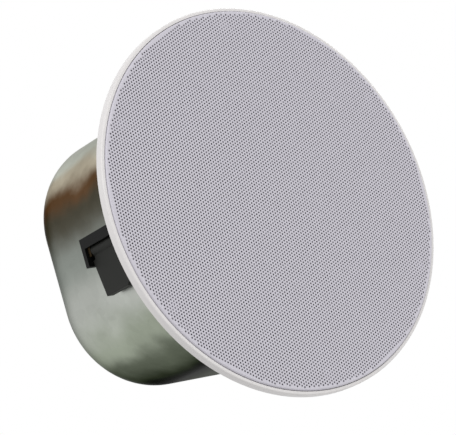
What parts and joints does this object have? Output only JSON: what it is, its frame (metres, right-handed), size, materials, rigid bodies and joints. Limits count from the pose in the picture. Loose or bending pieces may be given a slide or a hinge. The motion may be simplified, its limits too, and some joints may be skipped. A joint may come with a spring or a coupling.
{
  "type": "ceiling loudspeaker",
  "caption": "Round recessed ceiling loudspeaker with a perforated steel grille, a drawn steel back can and swing-out ceiling clamps.",
  "frame": {"origin": "centre of the grille's front face", "axes": "+Z along the speaker's axis, from the grille up into the ceiling void; +X and +Y out of two flats of the can"},
  "size_m": [0.3, 0.3, 0.209],
  "materials": {
    "bezel_abs": "moulded",
    "grille_steel": "powder coated",
    "zinc_steel": "zinc plated",
    "plated_screw": "zinc plated",
    "guide_nylon": "moulded",
    "arm_nylon": "moulded",
    "brass": "turned",
    "foam": "foam",
    "fibre": "felted",
    "black_cloth": "woven",
    "neodymium": "nickel plated",
    "basket_steel": "painted",
    "paper": "pressed pulp",
    "rubber": "moulded",
    "spider_cloth": "varnished weave",
    "kapton": "film",
    "copper": "enamelled wire",
    "ferrite": "sintered",
    "black_abs": "moulded",
    "dome_silk": "coated silk",
    "board": "solder resist",
    "nylon_natural": "moulded",
    "capacitor_film": "film wrapped",
    "ceramic": "glazed",
    "lamination": "stacked sheet"
  },
  "bodies": {
    "housing": {"baffle": "bezel_abs", "flange_gasket": "foam", "can_seal": "foam", "back_can": "zinc_steel", "can_screws": "plated_screw", "damping_lining": "fibre", "grille": "grille_steel", "grille_scrim": "black_cloth", "grille_magnets": "neodymium", "basket": "basket_steel", "front_gasket": "foam", "driver_screws": "plated_screw", "surround": "rubber", "spider": "spider_cloth", "top_plate": "plated_screw", "magnet": "ferrite", "yoke": "plated_screw", "tweeter_post": "plated_screw", "tweeter_housing": "black_abs", "tweeter_cup": "plated_screw", "tweeter_magnet": "neodymium", "tweeter_dome": "dome_silk", "tweeter_faceplate": "black_abs", "crossover_board": "board", "board_standoffs": "nylon_natural", "inductors": "copper", "capacitors": "capacitor_film", "resistor": "ceramic", "transformer_core": "lamination", "transformer_winding": "copper", "transformer_bracket": "plated_screw", "selector_switch": "black_abs", "terminal_cover": "zinc_steel", "terminal_block": "ceramic", "cable_clamp": "nylon_natural", "cover_screws": "plated_screw", "cable_grommets": "rubber", "safety_lug": "plated_screw", "rivets": "plated_screw", "guide_screws": "plated_screw", "clamp_guide_1": "guide_nylon", "clamp_guide_2": "guide_nylon", "clamp_guide_3": "guide_nylon", "clamp_guide_4": "guide_nylon"},
    "cone_assembly": {"cone": "paper", "voice_coil_former": "kapton", "voice_coil_winding": "copper"},
    "selector": {"selector_knob": "arm_nylon"},
    "screw_1": {"clamp_screw_1": "plated_screw"},
    "nut_1": {"clamp_nut_1": "brass"},
    "arm_1": {"clamp_arm_1": "arm_nylon"},
    "screw_2": {"clamp_screw_2": "plated_screw"},
    "nut_2": {"clamp_nut_2": "brass"},
    "arm_2": {"clamp_arm_2": "arm_nylon"},
    "screw_3": {"clamp_screw_3": "plated_screw"},
    "nut_3": {"clamp_nut_3": "brass"},
    "arm_3": {"clamp_arm_3": "arm_nylon"},
    "screw_4": {"clamp_screw_4": "plated_screw"},
    "nut_4": {"clamp_nut_4": "brass"},
    "arm_4": {"clamp_arm_4": "arm_nylon"}
  },
  "joints": [
    {"name": "screw_turn_1", "type": "hinge", "parent": "housing", "child": "screw_1", "pos_m": [0.106, 0, 0.05], "axis": [0, 0, 1], "range_deg": [0, 6660]},
    {"name": "nut_slide_1", "type": "slide", "parent": "housing", "child": "nut_1", "axis": [0, 0, -1], "range_m": [0, 0.037]},
    {"name": "arm_swing_1", "type": "hinge", "parent": "nut_1", "child": "arm_1", "pos_m": [0.106, 0, 0.074], "axis": [0, 0, 1], "range_deg": [0, 90]},
    {"name": "screw_turn_2", "type": "hinge", "parent": "housing", "child": "screw_2", "pos_m": [0, 0.106, 0.05], "axis": [0, 0, 1], "range_deg": [0, 6660]},
    {"name": "nut_slide_2", "type": "slide", "parent": "housing", "child": "nut_2", "axis": [0, 0, -1], "range_m": [0, 0.037]},
    {"name": "arm_swing_2", "type": "hinge", "parent": "nut_2", "child": "arm_2", "pos_m": [0, 0.106, 0.074], "axis": [0, 0, 1], "range_deg": [0, 90]},
    {"name": "screw_turn_3", "type": "hinge", "parent": "housing", "child": "screw_3", "pos_m": [-0.106, 0, 0.05], "axis": [0, 0, 1], "range_deg": [0, 6660]},
    {"name": "nut_slide_3", "type": "slide", "parent": "housing", "child": "nut_3", "axis": [0, 0, -1], "range_m": [0, 0.037]},
    {"name": "arm_swing_3", "type": "hinge", "parent": "nut_3", "child": "arm_3", "pos_m": [-0.106, 0, 0.074], "axis": [0, 0, 1], "range_deg": [0, 90]},
    {"name": "screw_turn_4", "type": "hinge", "parent": "housing", "child": "screw_4", "pos_m": [0, -0.106, 0.05], "axis": [0, 0, 1], "range_deg": [0, 6660]},
    {"name": "nut_slide_4", "type": "slide", "parent": "housing", "child": "nut_4", "axis": [0, 0, -1], "range_m": [0, 0.037]},
    {"name": "arm_swing_4", "type": "hinge", "parent": "nut_4", "child": "arm_4", "pos_m": [0, -0.106, 0.074], "axis": [0, 0, 1], "range_deg": [0, 90]},
    {"name": "cone_travel", "type": "slide", "parent": "housing", "child": "cone_assembly", "axis": [0, 0, 1], "range_m": [-0.003, 0.003], "stiffness_N_per_m": 2000, "deforming": ["surround", "spider"]},
    {"name": "selector_turn", "type": "hinge", "parent": "housing", "child": "selector", "pos_m": [0.07071, 0.07071, 0.012], "axis": [0, 0, 1], "range_deg": [0, 120]}
  ],
  "couplings": [
    {"joint": "screw_turn_1", "follows": "nut_slide_1", "rad_per_m": 3141.6},
    {"joint": "screw_turn_2", "follows": "nut_slide_2", "rad_per_m": 3141.6},
    {"joint": "screw_turn_3", "follows": "nut_slide_3", "rad_per_m": 3141.6},
    {"joint": "screw_turn_4", "follows": "nut_slide_4", "rad_per_m": 3141.6}
  ]
}
